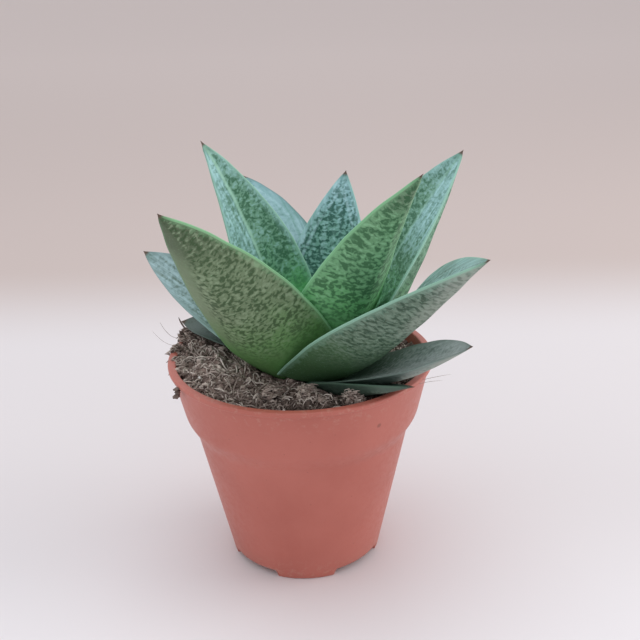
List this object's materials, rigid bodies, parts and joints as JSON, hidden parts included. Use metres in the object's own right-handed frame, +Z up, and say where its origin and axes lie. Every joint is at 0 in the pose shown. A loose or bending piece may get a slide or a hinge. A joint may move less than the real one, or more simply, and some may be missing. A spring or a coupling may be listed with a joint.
{
  "type": "potted gasteria",
  "caption": "Small potted succulent: a rosette of thick, pointed, mottled green leaves on a short stem, in a tapered plastic nursery pot filled with fibrous soil.",
  "frame": {"origin": "bottom centre of the object's outer box, on the plane that the pot's foot stands on", "axes": "+Z up; seen from the plant's front, +X points right and +Y points to the back"},
  "size_m": [0.0678, 0.0734, 0.0908],
  "materials": {
    "pot": "satin",
    "soil": "matte",
    "stem": "matte",
    "leaf_front_left": "satin",
    "leaf_front_right": "satin",
    "leaf_low_right": "satin",
    "leaf_lowest_right": "satin",
    "leaf_inner_right": "satin",
    "leaf_tall_right": "satin",
    "leaf_back_left": "satin",
    "leaf_tall_left": "satin",
    "leaf_back": "satin",
    "leaf_outer_left": "satin",
    "leaf_low_left": "satin",
    "leaf_hidden_right": "satin",
    "leaf_hidden_left": "satin",
    "leaf_heart": "satin"
  },
  "bodies": {
    "root": {"pot": "pot", "soil": "soil", "stem": "stem", "leaf_front_left": "leaf_front_left", "leaf_front_right": "leaf_front_right", "leaf_low_right": "leaf_low_right", "leaf_lowest_right": "leaf_lowest_right", "leaf_inner_right": "leaf_inner_right", "leaf_tall_right": "leaf_tall_right", "leaf_back_left": "leaf_back_left", "leaf_tall_left": "leaf_tall_left", "leaf_back": "leaf_back", "leaf_outer_left": "leaf_outer_left", "leaf_low_left": "leaf_low_left", "leaf_hidden_right": "leaf_hidden_right", "leaf_hidden_left": "leaf_hidden_left", "leaf_heart": "leaf_heart"}
  },
  "joints": []
}
